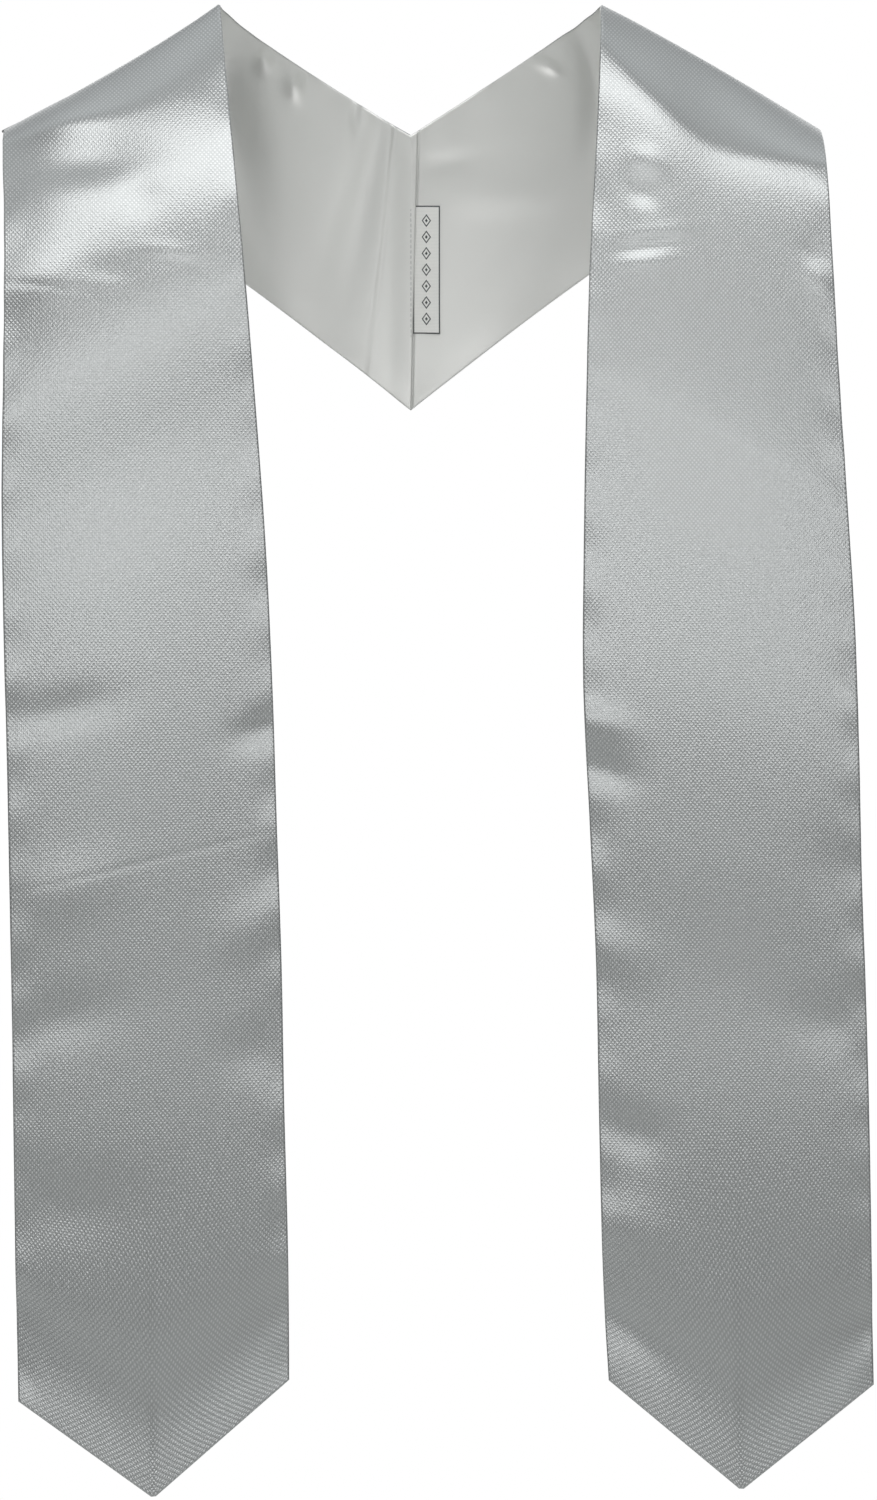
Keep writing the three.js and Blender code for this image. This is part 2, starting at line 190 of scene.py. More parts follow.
def back_points(band, across, turn):
    b = BANDS[band]
    angle = turn * math.pi / 2
    fall = 1 - np.abs(np.cos(angle))
    half = lerp(NECK_HALF, SHOULDER_HALF, across)
    inner_z = FOLD_TOP - NAPE_DROP * fall ** b["inner_bow"]
    outer_z = -FOLD_TOP - (NAPE_DROP + SEAM_HEIGHT - 2 * FOLD_TOP) * fall**OUTER_BOW
    x = b["side"] * (SEAM_HALF_GAP + (half - SEAM_HALF_GAP) * np.cos(angle))
    y = lerp(NAPE_DEPTH, BACK_DEPTH, across) * np.sin(angle)
    return np.stack([x, y, lerp(inner_z, outer_z, across) + fold_bow(band, across, turn)], -1)


def band_points(band, across, way):
    """The band's middle surface, from the nape seam (way -1) over the shoulder fold (0) to the hem (1)."""
    across, way = np.broadcast_arrays(np.asarray(across, float), np.asarray(way, float))
    front = front_points(band, across, np.maximum(way, 0))
    back = back_points(band, across, np.maximum(-way, 0))
    return np.where((way < 0)[..., None], back, front)


NORMAL_STEP = 0.002
SEAM_TURN = 0.02


def band_normals(band, across, way):
    """Directions out of the satin side, which turn into the seam's plane over the SEAM_TURN next to it."""
    ahead, behind = np.minimum(way + NORMAL_STEP, 1), way - NORMAL_STEP
    along = band_points(band, across, ahead) - band_points(band, across, behind)
    sideways = band_points(band, across + NORMAL_STEP, way) - band_points(band, across - NORMAL_STEP, way)
    normal = np.cross(along, sideways) * BANDS[band]["side"]
    normal[..., 0] *= np.clip((way + 1) / SEAM_TURN, 0, 1)
    return normal / np.linalg.norm(normal, axis=-1, keepdims=True)


# Dents, puckers and press creases of the chest side. across: share of the width from the inner edge; down:
# share of the hang; wide, tall and deep in millimetres, deep negative where the cloth sinks in; tilt: degrees
# of turn.
DENT_COLUMNS = "across down wide tall deep tilt"
FRONT_DENTS = {
    "left": [
        (0.68, 0.02, 25, 8, 1.7, -20),
        (0.62, 0.062, 38, 12, -2.7, -24),
        (0.4, 0.115, 12, 8, -0.8, -30),
        (0.86, 0.137, 26, 13, 1.3, -24),
        (0.8, 0.149, 42, 1.6, -0.3, -28),
        (0.3, 0.164, 16, 3.5, 0.45, -28),
        (0.3, 0.173, 16, 3.0, -0.4, -28),
        (0.55, 0.158, 18, 5, -0.5, -28),
        (0.8, 0.475, 26, 10, -1.1, -6),
        (0.05, 0.53, 14, 8, -1.2, 0),
        (0.8, 0.61, 26, 15, 0.8, 0),
        (0.5, 0.605, 90, 1.4, -0.12, 0),
        (0.08, 0.67, 18, 13, 1.0, 0),
        (0.82, 0.71, 26, 13, -0.9, 0),
        (0.08, 0.76, 18, 13, -0.9, 0),
        (0.82, 0.85, 33, 15, -1.0, 0),
    ],
    "right": [
        (0.21, 0.1035, 10, 5.5, 0.9, -20),
        (0.21, 0.121, 10, 5, -0.8, -20),
        (0.2, 0.1315, 8, 5, -1.1, -20),
        (0.26, 0.1545, 18, 3.5, 0.55, -28),
        (0.26, 0.1625, 18, 3.5, -0.55, -28),
        (0.2, 0.1715, 14, 3.5, -0.5, -28),
        (0.2, 0.1805, 14, 3.5, 0.5, -28),
        (0.935, 0.112, 9, 8, -0.7, -20),
        (0.935, 0.132, 9, 8, 0.9, -20),
        (0.06, 0.525, 14, 8, 1.2, 0),
        (0.06, 0.56, 14, 8, -1.2, 0),
        (0.95, 0.6, 18, 20, -0.9, 0),
        (0.07, 0.69, 18, 13, 0.9, 0),
        (0.9, 0.72, 23, 13, -0.8, 0),
        (0.12, 0.82, 14, 10, -1.2, 0),
        (0.1, 0.88, 18, 12, 1.0, 0),
        (0.08, 0.95, 17, 10, -1.1, 0),
    ],
}
# Folds and puckers of the back, placed by turn: share of the way from the shoulder fold to the nape seam. Deep
# is negative where the cloth comes towards the wearer's neck.
BACK_COLUMNS = "across turn wide tall deep tilt"
BACK_DENTS = {
    "left": [
        (0.42, 0.515, 42, 17, -13.0, 37),
        (0.45, 0.88, 80, 8, -3.0, -3),
        (0.8, 0.7, 30, 10, -2.0, 30),
        (0.07, 0.485, 9, 5, 3.0, 50),
        (0.09, 0.62, 9, 5, 3.0, 40),
        (0.05, 0.82, 8, 3, -1.0, 10),
    ],
    "right": [
        (0.3, 0.462, 38, 8.5, -6.5, 37),
        (0.19, 0.9, 15, 5, -0.7, -60),
        (0.45, 0.8, 30, 9, 0.7, -45),
        (0.08, 0.535, 9, 4.5, 2.6, -20),
        (0.85, 0.42, 30, 14, -2.4, 10),
    ],
}
FRONT_CROWN, BACK_CROWN = 3.5 * MM, 3 * MM


def bumps(rows, names, across, place, width, length):
    """The sum of soft bumps, each an ellipse turned by its tilt, at a place across and along the band."""
    total = np.zeros(np.shape(place))
    for row in rows:
        dent = dict(zip(names.split(), row))
        side = (across - dent["across"]) * width
        ahead = (place - row[1]) * length
        turn = math.radians(dent["tilt"])
        s = (side * math.cos(turn) + ahead * math.sin(turn)) / (dent["wide"] * MM)
        a = (ahead * math.cos(turn) - side * math.sin(turn)) / (dent["tall"] * MM)
        total += dent["deep"] * MM * np.exp(-(s * s + a * a))
    return total


BACK_LENGTH = 190 * MM
PUCKER = 0.28 * MM
PUCKER_REACH = 9 * MM
# Millimetres along the edge in which each wave turns through one radian, and the turns that set bands and edges
# apart.
SHORT_WAVE, LONG_WAVE, SWELL = 5.1, 8.3, 31
BAND_TURNS = {"left": 2, "right": 5}
EDGE_TURNS = (0.0, 1.7)


def edge_pucker(band, across, way):
    """Shallow waves that the sewing leaves along both long edges."""
    along = way * np.where(way < 0, BACK_LENGTH, FRONT_HANG) / MM
    shift = BAND_TURNS[band]
    total = np.zeros(np.shape(along))
    for share, turn in zip((across, 1 - across), EDGE_TURNS):
        wave = np.sin(along / SHORT_WAVE + turn + shift)
        wave += np.sin(along / LONG_WAVE + 2 * turn) * np.sin(along / SWELL + shift)
        total += wave * np.exp(-((share * HEM_WIDTH / PUCKER_REACH) ** 2))
    return PUCKER * total


def relief(band, across, way):
    """How far the cloth stands out from the middle surface, towards the satin side."""
    down, turn = np.maximum(way, 0), np.maximum(-way, 0)
    front = bumps(FRONT_DENTS[band], DENT_COLUMNS, across, down, HEM_WIDTH, FRONT_HANG)
    front += FRONT_CROWN * arch(across) * smooth(down / 0.5)
    back = bumps(BACK_DENTS[band], BACK_COLUMNS, across, turn, SEAM_HEIGHT, SHOULDER_HALF)
    back += BACK_CROWN * arch(across) * smooth(turn)
    return np.where(way < 0, back, front) + edge_pucker(band, across, way)


def stops(count, ends, length):
    """Shares of a length: even between the two ends, and at the distances given from each end."""
    near = np.array(ends) * MM / length
    middle = np.linspace(near[-1], 1 - near[-1], count)
    return np.concatenate([near[:-1], middle, 1 - near[-2::-1]])


def sheet_mesh(name, outer, inner, u, v, mirrored):
    """A closed sheet between two grids of points, with u and v in metres along the cloth as its UV map."""
    rows, cols = outer.shape[:2]
    grid = np.arange(rows * cols).reshape(rows, cols)
    a, b, c, d = grid[:-1, :-1], grid[1:, :-1], grid[1:, 1:], grid[:-1, 1:]
    top = np.stack([a, b, c, d], -1).reshape(-1, 4)
    under = np.stack([a, d, c, b], -1).reshape(-1, 4) + rows * cols
    rim = np.concatenate([grid[:-1, 0], grid[-1, :-1], grid[:0:-1, -1], grid[0, :0:-1]])
    after = np.roll(rim, -1)
    sides = np.stack([after, rim, rim + rows * cols, after + rows * cols], -1)
    quads = np.concatenate([top, under, sides])
    if mirrored:
        quads = quads[:, ::-1]
    mesh = bpy.data.meshes.new(name)
    points = np.concatenate([outer.reshape(-1, 3), inner.reshape(-1, 3)])
    mesh.vertices.add(len(points))
    mesh.vertices.foreach_set("co", points.ravel())
    mesh.loops.add(quads.size)
    mesh.loops.foreach_set("vertex_index", quads.ravel().astype(np.int32))
    mesh.polygons.add(len(quads))
    mesh.polygons.foreach_set("loop_start", np.arange(0, quads.size, 4, dtype=np.int32))
    mesh.update(calc_edges=True)
    mesh.shade_smooth()
    uv = np.stack([np.broadcast_to(u, (rows, cols)), np.broadcast_to(v, (rows, cols))], -1).reshape(-1, 2)
    layer = mesh.uv_layers.new(name="cloth")
    layer.uv.foreach_set("vector", np.concatenate([uv, uv])[quads.ravel()].ravel())
    mesh.validate()
    piece = bpy.data.objects.new(name, mesh)
    bpy.context.scene.collection.objects.link(piece)
    return piece


def turned(edge, radius):
    """Rises from 0 at an edge to 1 at the radius, as a turned and pressed edge does."""
    return np.sqrt(1 - (1 - np.clip(edge / radius, 0, 1)) ** 2)


HEM_SLOPE = math.cos(math.atan(POINT_DROP / (HEM_WIDTH / 2)))
EDGE_STOPS = [0, 0.12, 0.4, 0.8, 1.3, 2.0, 3.0]
FOLD_STOPS = [0, 0.06, 0.25, 0.6, 1.1, 1.8, 2.6, 3.5]
ACROSS, BACK_ROWS, FRONT_ROWS = 52, 130, 400
SEAM_CROWDING = 1.7


def band_grid(band, inset, lap=0.0):
    """Across and way of each point of a ply, its distance from the free edges and from its end at the nape, and
    the band's width. lap: how far the ply goes past the seam at its top, easing to nothing at its bottom."""
    across = stops(ACROSS, EDGE_STOPS, HEM_WIDTH - 2 * inset)
    across = lerp(inset / HEM_WIDTH, 1 - inset / HEM_WIDTH, across)
    back = np.linspace(0, 1, BACK_ROWS, endpoint=False) ** SEAM_CROWDING
    front = stops(FRONT_ROWS, EDGE_STOPS, FRONT_HANG - inset)
    front = front[front > FOLD_STOPS[-1] * MM / FRONT_HANG] * (1 - inset / FRONT_HANG)
    front = np.concatenate([np.array(FOLD_STOPS) * MM / FRONT_HANG, front])
    past_seam = lap * (1 - across) / (lerp(NECK_HALF, SHOULDER_HALF, across) * math.pi / 2)
    way = np.concatenate([np.outer(back - 1, 1 + past_seam), np.repeat(front[:, None], len(across), 1)])
    across = np.broadcast_to(across, way.shape)
    width = np.where(way < 0, BAND_WIDTH, band_width(band, np.maximum(way, 0)))
    side_edge = np.minimum(across, 1 - across) * width - inset
    hem_edge = ((1 - way) * FRONT_HANG - inset) * HEM_SLOPE
    nape_edge = (way - way[0]) * BACK_LENGTH
    return across, way, np.maximum(np.minimum(side_edge, hem_edge), 0), np.maximum(nape_edge, 0), width


CHEST_EXTRA = 45 * MM


def cloth_uv(across, way, width):
    """Distances in metres across and along the cloth, for the weave."""
    along = np.where(way < 0, way * BACK_LENGTH, way * (FRONT_HANG + CHEST_EXTRA))
    return (across - 0.5) * width, along + across * 2 * FOLD_TOP * (1 - np.maximum(way, 0))


FACE_TOP, FACE_UNDER = 0.75 * MM, 0.1 * MM
TURN_RADIUS = 0.7 * MM
TURN_DIP = -0.15 * MM
SEAM_RISE = 0.25
THINNEST = 0.02 * MM


def face_piece(band):
    across, way, edge, seam, width = band_grid(band, 0)
    normal = band_normals(band, across, way)
    middle = band_points(band, across, way) + normal * relief(band, across, way)[..., None]
    rise = turned(edge, TURN_RADIUS) * lerp(SEAM_RISE, 1, turned(seam, TURN_RADIUS))
    top = lerp(TURN_DIP, FACE_TOP, rise)
    under = lerp(TURN_DIP, FACE_UNDER, smooth(edge / (2 * TURN_RADIUS)))
    under = np.minimum(under, top - THINNEST)
    outer = middle + normal * top[..., None]
    inner = middle + normal * under[..., None]
    u, v = cloth_uv(across, way, width)
    return sheet_mesh(f"{band}_satin", outer, inner, u, v, BANDS[band]["side"] < 0)


def srgb(code):
    """A hex sRGB colour as linear values."""
    parts = [int(code[i : i + 2], 16) / 255 for i in (1, 3, 5)]
    return *(p / 12.92 if p <= 0.04045 else ((p + 0.055) / 1.055) ** 2.4 for p in parts), 1.0


def add(tree, kind, links=(), **settings):
    """Adds one node to a tree. A setting that names a socket sets its value. A link is a socket and the output,
    or the number, that it takes."""
    node = tree.nodes.new(kind)
    for name, value in settings.items():
        socket = next((s for s in node.inputs if s.name.replace(" ", "_") == name), None)
        if socket is None or hasattr(node, name):
            setattr(node, name, value)
        else:
            socket.default_value = value
    for socket, given in links:
        if isinstance(given, bpy.types.NodeSocket):
            tree.links.new(node.inputs[socket], given)
        else:
            node.inputs[socket].default_value = given
    return node


def new_material(name):
    material = bpy.data.materials.new(name)
    material.use_nodes = True
    material.node_tree.nodes.clear()
    return material, material.node_tree


# Polyester satin: filament warp floats over the weft, so it has a soft broad gloss that runs across the floats.
# The interlacings make a fine lattice of pinpricks about 0.9 mm apart, drawn 1.5 mm apart so that it shows.
PINPRICKS = 1.5 * MM
TWILL_ANGLES = (43, -39)


def wave_scale(pitch):
    """The scale at which Blender's wave texture has its bands a pitch apart."""
    return math.pi / 10 / pitch


def satin_material():
    material, tree = new_material("polyester_satin_weave")
    uv = add(tree, "ShaderNodeUVMap", uv_map="cloth")
    twills = []
    for angle in TWILL_ANGLES:
        rotation = (0, 0, math.radians(angle))
        turn = add(tree, "ShaderNodeMapping", [("Vector", uv.outputs["UV"])], Rotation=rotation)
        twill = add(
            tree,
            "ShaderNodeTexWave",
            [("Vector", turn.outputs["Vector"])],
            Scale=wave_scale(PINPRICKS),
            Distortion=0.8,
            Detail=1.0,
            Detail_Scale=3.0,
        )
        twills.append(twill.outputs["Fac"])
    weave = add(tree, "ShaderNodeMath", [(0, twills[0]), (1, twills[1])], operation="MULTIPLY")
    slub = add(tree, "ShaderNodeTexNoise", [("Vector", uv.outputs["UV"])], Scale=700.0, Detail=1.0)
    threads = add(tree, "ShaderNodeMath", [(0, weave.outputs[0]), (1, slub.outputs["Fac"])], operation="ADD")
    tone = add(
        tree,
        "ShaderNodeMixRGB",
        [("Fac", weave.outputs[0])],
        Color1=srgb("#AFB2B2"),
        Color2=srgb("#D4D6D6"),
    )
    bump = add(tree, "ShaderNodeBump", [("Height", threads.outputs[0])], Strength=1.0, Distance=0.07 * MM)
    tangent = add(tree, "ShaderNodeTangent", direction_type="UV_MAP", uv_map="cloth")
    satin = add(
        tree,
        "ShaderNodeBsdfPrincipled",
        [
            ("Base Color", tone.outputs[0]),
            ("Normal", bump.outputs["Normal"]),
            ("Tangent", tangent.outputs["Tangent"]),
        ],
        Metallic=0.5,
        Roughness=0.3,
        IOR=1.5,
        Anisotropic=0.5,
        Sheen_Weight=0.1,
        Sheen_Roughness=0.4,
    )
    add(tree, "ShaderNodeOutputMaterial", [("Surface", satin.outputs["BSDF"])])
    return material


satin = satin_material()
for band in BANDS:
    face = face_piece(band)
    face.data.materials.append(satin)
    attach(face, "root")
    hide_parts(f"{band}_face")


# The linings.
# Each is the same strip with its duller side out, sewn to the face round the edge and turned, so that its own
# edge lies a hair inside the satin's. At the nape the left one is folded under and laps over the right one, and
# the edge of the seam allowance pressed open beneath it shows through as a fine ridge.
LINING_TOP, LINING_UNDER = -0.1 * MM, -0.7 * MM
LINING_INSET = 0.1 * MM
TURNED_EDGE = -0.3 * MM
LAP = 3.4 * MM
LAP_LIFT, LAP_EASE = 1.2 * MM, 13 * MM
LAP_RADIUS = 0.7 * MM
ALLOWANCE = (8.1 * MM, 21 * MM)
ALLOWANCE_STEP, ALLOWANCE_RIDGE, RIDGE_WIDTH = 0.45 * MM, 0.5 * MM, 0.75 * MM
DITCH_DEPTH, DITCH_WIDTH = 0.5 * MM, 0.7 * MM


def lining_piece(band):
    lap = LAP if band == "left" else 0
    across, way, edge, end, width = band_grid(band, LINING_INSET, lap)
    normal = band_normals(band, across, way)
    plain = band_points(band, across, way)
    middle = plain + normal * relief(band, across, way)[..., None]
    rise = turned(edge, TURN_RADIUS)
    lift = np.zeros(way.shape)
    if lap:
        past = plain[..., 0]
        lift = LAP_LIFT * smooth(1 + past / LAP_EASE)
        ridge = past + lerp(*ALLOWANCE, across)
        lift += ALLOWANCE_STEP * smooth(0.5 + ridge / RIDGE_WIDTH) * (way < 0)
        lift += ALLOWANCE_RIDGE * np.exp(-((ridge / RIDGE_WIDTH) ** 2)) * (way < 0)
        rise *= turned(end, LAP_RADIUS)
    under = lerp(TURNED_EDGE, LINING_UNDER, rise) - lift
    if not lap:
        from_lap = plain[..., 0] - LAP * (1 - across) - DITCH_WIDTH / 2
        under += DITCH_DEPTH * np.exp(-((from_lap / DITCH_WIDTH) ** 2)) * (way < 0)
    top = lerp(TURNED_EDGE, LINING_TOP, smooth(edge / TURN_RADIUS)) - lift
    top = np.maximum(top, under + THINNEST)
    outer = middle + normal * top[..., None]
    inner = middle + normal * under[..., None]
    u, v = cloth_uv(across, way, width)
    return sheet_mesh(f"{band}_lining_cloth", outer, inner, u, v, BANDS[band]["side"] < 0)


# The satin's reverse: the weft side, smooth and flat with a low gloss.
def lining_material():
    material, tree = new_material("satin_reverse")
    uv = add(tree, "ShaderNodeUVMap", uv_map="cloth")
    cast = add(tree, "ShaderNodeTexNoise", [("Vector", uv.outputs["UV"])], Scale=12.0, Detail=3.0)
    tone = add(
        tree,
        "ShaderNodeMixRGB",
        [("Fac", cast.outputs["Fac"])],
        Color1=srgb("#ECEDEA"),
        Color2=srgb("#F4F4F2"),
    )
    grain = add(tree, "ShaderNodeTexNoise", [("Vector", uv.outputs["UV"])], Scale=1500.0, Detail=2.0)
    bump = add(tree, "ShaderNodeBump", [("Height", grain.outputs["Fac"])], Strength=0.25, Distance=0.08 * MM)
    cloth = add(
        tree,
        "ShaderNodeBsdfPrincipled",
        [("Base Color", tone.outputs[0]), ("Normal", bump.outputs["Normal"])],
        Metallic=0.9,
        Roughness=0.52,
        IOR=1.5,
    )
    add(tree, "ShaderNodeOutputMaterial", [("Surface", cloth.outputs["BSDF"])])
    return material


reverse = lining_material()
for band in BANDS:
    lining = lining_piece(band)
    lining.data.materials.append(reverse)
    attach(lining, "root")
    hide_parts(f"{band}_lining")


# The label.
# A narrow woven polyester tape, folded under at its ends, with its long edge caught beneath the lap of the nape
# seam. Its free edge stands a little off the lining. It carries a dark woven edge line and a row of lozenges.
# The edge line runs flush along the free edge and the ends, where it is also painted shade standing in for the
# thin shadow there.
LABEL_LEFT, LABEL_RIGHT = 0.3 * MM, 14.4 * MM
LABEL_TOP, LABEL_HEIGHT = FOLD_TOP - NAPE_DROP - 34.5 * MM, 62.5 * MM
LABEL_THICK = 0.35 * MM
LABEL_GAP = 0.05 * MM
LABEL_CURL, CURL_WAVE = 0.7 * MM, 0.45
CORNER_LIFT = 0.25 * MM
LABEL_RIM, LABEL_ROUND = 0.55, 0.5 * MM
LABEL_STEPS = (28, 110)
PLACE_ROUNDS = 14


def lining_place(x, z):
    """Across and way on the right half for a distance from the seam and a height, by correcting a guess."""
    across = np.full(np.shape(x), 0.5)
    for _ in range(PLACE_ROUNDS):
        half = lerp(NECK_HALF, SHOULDER_HALF, across)
        cosine = np.clip((x - SEAM_HALF_GAP) / (half - SEAM_HALF_GAP), 0, 1)
        way = -np.arccos(cosine) / (math.pi / 2)
        across = across + (band_points("right", across, way)[..., 2] - z) / SEAM_HEIGHT
    return across, way


def label_piece():
    columns, rows = LABEL_STEPS
    u, v = np.meshgrid(np.linspace(0, 1, columns), np.linspace(0, 1, rows))
    x = lerp(LABEL_LEFT, LABEL_RIGHT, u)
    across, way = lining_place(x, LABEL_TOP - v * LABEL_HEIGHT)
    normal = band_normals("right", across, way)
    middle = band_points("right", across, way) + normal * relief("right", across, way)[..., None]
    width = LABEL_RIGHT - LABEL_LEFT
    curl = LABEL_CURL * u**3 * (1 - CURL_WAVE + CURL_WAVE * np.cos(2 * math.pi * v) ** 2)
    curl += CORNER_LIFT * u * v**6
    ends = np.minimum(np.minimum(1 - u, u) * width, np.minimum(v, 1 - v) * LABEL_HEIGHT)
    thick = LABEL_THICK * lerp(LABEL_RIM, 1, turned(ends, LABEL_ROUND))
    near = LINING_UNDER - LABEL_GAP - curl
    outer = middle + normal * near[..., None]
    inner = middle + normal * (near - thick)[..., None]
    return sheet_mesh("woven_label", outer, inner, u * width, v * LABEL_HEIGHT, False)


# Damask-woven polyester tape: smooth and matt, with fine weft ribs about 0.3 mm apart, drawn 0.7 mm apart to
# show. PATTERN_SHIFT: how far the pattern sits towards the free edge; it sets the dark edge line flush with that
# edge, where the line is painted shade for the thin shadow along it. A lozenge is a ring round a core, sized in
# shares of its half width and half height.
RIBS = 0.7 * MM
PATTERN_SHIFT = 0.4 * MM
EDGE_LINE_AND_SHADE_IN, EDGE_LINE_AND_SHADE_HALF = 0.3 * MM, 0.3 * MM
LOZENGE_PITCH, LOZENGE_HALF = 8 * MM, (2.3 * MM, 3.2 * MM)
LOZENGE_RING, LOZENGE_RING_HALF, LOZENGE_CORE = 0.86, 0.14, 0.3
LOZENGE_ROW = 3.4 * LOZENGE_PITCH


def label_material():
    material, tree = new_material("woven_polyester_tape")
    uv = add(tree, "ShaderNodeUVMap", uv_map="cloth")
    place = add(tree, "ShaderNodeSeparateXYZ", [("Vector", uv.outputs["UV"])]).outputs
    half_width, half_height = (LABEL_RIGHT - LABEL_LEFT) / 2, LABEL_HEIGHT / 2
    figures = {"x": place["X"], "y": place["Y"]}
    for name, operation, *values in [
        ("from_middle", "SUBTRACT", "x", half_width + PATTERN_SHIFT),
        ("off_middle", "ABSOLUTE", "from_middle"),
        ("from_centre", "SUBTRACT", "y", half_height),
        ("off_centre", "ABSOLUTE", "from_centre"),
        ("side_gap", "SUBTRACT", half_width - PATTERN_SHIFT, "off_middle"),
        ("end_gap", "SUBTRACT", half_height, "off_centre"),
        ("gap", "MINIMUM", "side_gap", "end_gap"),
        # The dark edge line: a woven line that is also a painted shadow along the free edge and the ends.
        ("border_and_edge_shade", "COMPARE", "gap", EDGE_LINE_AND_SHADE_IN, EDGE_LINE_AND_SHADE_HALF),
        ("along", "PINGPONG", "off_centre", LOZENGE_PITCH / 2),
        ("slant_across", "DIVIDE", "off_middle", LOZENGE_HALF[0]),
        ("slant_along", "DIVIDE", "along", LOZENGE_HALF[1]),
        ("slant", "ADD", "slant_across", "slant_along"),
        ("ring", "COMPARE", "slant", LOZENGE_RING, LOZENGE_RING_HALF),
        ("core", "LESS_THAN", "slant", LOZENGE_CORE),
        ("lozenge", "MAXIMUM", "ring", "core"),
        ("in_row", "LESS_THAN", "off_centre", LOZENGE_ROW),
        ("row", "MULTIPLY", "lozenge", "in_row"),
        ("figure", "MAXIMUM", "border_and_edge_shade", "row"),
    ]:
        links = [(i, figures.get(value, value)) for i, value in enumerate(values)]
        figures[name] = add(tree, "ShaderNodeMath", links, operation=operation).outputs[0]
    figure = figures["figure"]
    ribs = add(
        tree,
        "ShaderNodeTexWave",
        [("Vector", uv.outputs["UV"])],
        bands_direction="Y",
        Scale=wave_scale(RIBS),
    )
    ground = add(
        tree,
        "ShaderNodeMixRGB",
        [("Fac", ribs.outputs["Fac"])],
        Color1=srgb("#E2E3E0"),
        Color2=srgb("#F0F0ED"),
    )
    woven = [("Fac", figure), ("Color1", ground.outputs[0])]
    # Dark thread for the lozenges and the edge line; along the edges this dark colour is painted shade.
    thread = add(tree, "ShaderNodeMixRGB", woven, Color2=srgb("#4A4E50"))
    relief_map = add(tree, "ShaderNodeMath", [(0, ribs.outputs["Fac"]), (1, figure)], operation="ADD")
    bump = add(tree, "ShaderNodeBump", [("Height", relief_map.outputs[0])], Strength=0.6, Distance=0.06 * MM)
    tape = add(
        tree,
        "ShaderNodeBsdfPrincipled",
        [("Base Color", thread.outputs[0]), ("Normal", bump.outputs["Normal"])],
        Roughness=0.6,
        IOR=1.5,
        Sheen_Weight=0.15,
        Sheen_Roughness=0.4,
    )
    add(tree, "ShaderNodeOutputMaterial", [("Surface", tape.outputs["BSDF"])])
    return material


label = label_piece()
label.data.materials.append(label_material())
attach(label, "root")
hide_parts("neck_label")


# The stitches of the nape seam.
# The two satin strips are joined face to face by a lockstitch and pressed open, so on the satin side a row of
# short grey polyester stitches shows down in the seam's ditch.
STITCH_PITCH, STITCH_LENGTH, STITCH_THICK = 2.6 * MM, 2.1 * MM, 0.26 * MM
STITCH_DEPTH = 0.12 * MM
SEAM_POINTS, SEAM_MARGIN = 40, 0.02


def stitch_tree():
    tree = bpy.data.node_groups.new("seam_stitches", "GeometryNodeTree")
    tree.interface.new_socket("Seam", in_out="INPUT", socket_type="NodeSocketGeometry")
    for name in ("Pitch", "Length", "Thickness"):
        tree.interface.new_socket(name, in_out="INPUT", socket_type="NodeSocketFloat")
    tree.interface.new_socket("Thread", in_out="INPUT", socket_type="NodeSocketMaterial")
    tree.interface.new_socket("Stitches", in_out="OUTPUT", socket_type="NodeSocketGeometry")
    given = add(tree, "NodeGroupInput").outputs
    spots = add(
        tree,
        "GeometryNodeCurveToPoints",
        [("Curve", given["Seam"]), ("Length", given["Pitch"])],
        mode="LENGTH",
    )
    size = add(
        tree,
        "ShaderNodeCombineXYZ",
        [("X", given["Thickness"]), ("Y", given["Thickness"]), ("Z", given["Length"])],
    )
    bead = add(tree, "GeometryNodeMeshUVSphere", Segments=8, Rings=6, Radius=0.5)
    aim = add(tree, "FunctionNodeAlignRotationToVector", [("Vector", spots.outputs["Tangent"])], axis="Z")
    placed = add(
        tree,
        "GeometryNodeInstanceOnPoints",
        [
            ("Points", spots.outputs["Points"]),
            ("Instance", bead.outputs["Mesh"]),
            ("Rotation", aim.outputs["Rotation"]),
            ("Scale", size.outputs["Vector"]),
        ],
    )
    real = add(tree, "GeometryNodeRealizeInstances", [("Geometry", placed.outputs["Instances"])])
    smooth_faces = add(tree, "GeometryNodeSetShadeSmooth", [("Geometry", real.outputs["Geometry"])])
    finish = add(
        tree,
        "GeometryNodeSetMaterial",
        [("Geometry", smooth_faces.outputs["Geometry"]), ("Material", given["Thread"])],
    )
    add(tree, "NodeGroupOutput", [("Stitches", finish.outputs["Geometry"])])
    return tree


# Spun polyester thread: matt and slightly furry, a shade darker than the satin.
def thread_material():
    material, tree = new_material("spun_polyester_thread")
    place = add(tree, "ShaderNodeTexCoord")
    twist = add(tree, "ShaderNodeTexNoise", [("Vector", place.outputs["Object"])], Scale=2500.0, Detail=1.0)
    tone = add(
        tree,
        "ShaderNodeMixRGB",
        [("Fac", twist.outputs["Fac"])],
        Color1=srgb("#8E9293"),
        Color2=srgb("#A6AAAB"),
    )
    thread = add(
        tree,
        "ShaderNodeBsdfPrincipled",
        [("Base Color", tone.outputs[0])],
        Roughness=0.7,
        Sheen_Weight=0.3,
        Sheen_Roughness=0.5,
    )
    add(tree, "ShaderNodeOutputMaterial", [("Surface", thread.outputs["BSDF"])])
    return material


